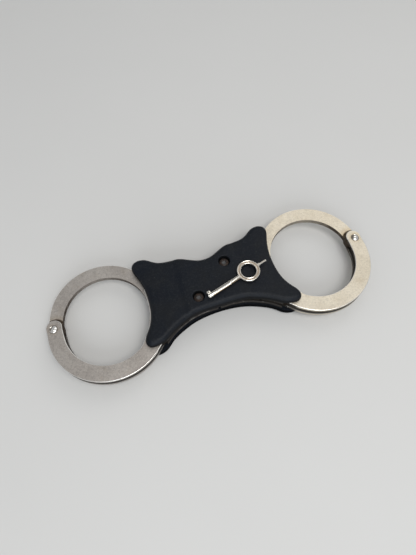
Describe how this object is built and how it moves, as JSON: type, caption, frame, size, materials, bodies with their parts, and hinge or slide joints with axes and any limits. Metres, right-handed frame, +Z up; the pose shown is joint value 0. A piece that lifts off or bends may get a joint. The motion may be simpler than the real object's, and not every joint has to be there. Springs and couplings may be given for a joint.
{
  "type": "handcuffs",
  "caption": "Rigid-bar handcuffs: two toothed swing-through cuffs riveted to a short bar inside a black moulded grip, closed, with the key lying on the grip.",
  "frame": {"origin": "on the flat underside of the bottom cover, midway between the two cuffs, level in Y with the centres of the wrist openings", "axes": "+X from the grip towards the right-hand cuff, +Y towards the single strands, +Z up out of the top cover"},
  "size_m": [0.2304, 0.0846, 0.0248],
  "materials": {
    "nickel_steel": "satin nickel plate, fine scratches",
    "pivot_steel": "polished rivet head",
    "grip_polymer": "fine-grained moulded black",
    "screw_steel": "blackened steel with surface rust",
    "bare_steel": "plain machined steel",
    "spring_steel": "blued strip",
    "key_nickel": "worn nickel plate"
  },
  "bodies": {
    "frame": {"centre_bar": "bare_steel", "frame_rivets": "bare_steel", "grip_bottom_cover": "grip_polymer", "grip_nuts": "screw_steel", "grip_screws": "screw_steel", "grip_top_cover": "grip_polymer", "left_cheek_plate_bottom": "nickel_steel", "left_cheek_plate_top": "nickel_steel", "left_key_post": "bare_steel", "left_lock_block": "bare_steel", "left_pawl_pin": "bare_steel", "left_pawl_spring": "spring_steel", "left_pivot_rivet": "pivot_steel", "right_cheek_plate_bottom": "nickel_steel", "right_cheek_plate_top": "nickel_steel", "right_key_post": "bare_steel", "right_lock_block": "bare_steel", "right_pawl_pin": "bare_steel", "right_pawl_spring": "spring_steel", "right_pivot_rivet": "pivot_steel"},
    "right_strand": {"right_single_strand": "nickel_steel"},
    "right_pawl": {"right_pawl": "bare_steel"},
    "right_lock_bar": {"right_double_lock_bar": "bare_steel"},
    "left_strand": {"left_single_strand": "nickel_steel"},
    "left_pawl": {"left_pawl": "bare_steel"},
    "left_lock_bar": {"left_double_lock_bar": "bare_steel"},
    "key": {"key": "key_nickel"}
  },
  "joints": [
    {"name": "right_strand_hinge", "type": "hinge", "parent": "frame", "child": "right_strand", "pos_m": [0.1104, 0.0061, 0.0105], "axis": [0, 0, 1], "continuous": true},
    {"name": "right_pawl_pivot", "type": "hinge", "parent": "frame", "child": "right_pawl", "pos_m": [0.0344, 0.018, 0.0105], "axis": [0, 0, 1], "range_deg": [-4.5, 0], "stiffness_Nm_per_rad": 0.05, "springref_deg": 5.73, "deforming": ["right_pawl_spring"]},
    {"name": "right_double_lock_slide", "type": "slide", "parent": "frame", "child": "right_lock_bar", "axis": [0, 1, 0], "range_m": [0, 0.0035]},
    {"name": "left_strand_hinge", "type": "hinge", "parent": "frame", "child": "left_strand", "pos_m": [-0.1104, 0.0061, 0.0105], "axis": [0, 0, -1], "continuous": true},
    {"name": "left_pawl_pivot", "type": "hinge", "parent": "frame", "child": "left_pawl", "pos_m": [-0.0344, 0.018, 0.0105], "axis": [0, 0, -1], "range_deg": [-4.5, 0], "stiffness_Nm_per_rad": 0.05, "springref_deg": 5.73, "deforming": ["left_pawl_spring"]},
    {"name": "left_double_lock_slide", "type": "slide", "parent": "frame", "child": "left_lock_bar", "axis": [0, 1, 0], "range_m": [0, 0.0035]},
    {"name": "key_lift", "type": "slide", "parent": "frame", "child": "key", "axis": [0, 0, 1], "range_m": [0, 0.05]}
  ]
}
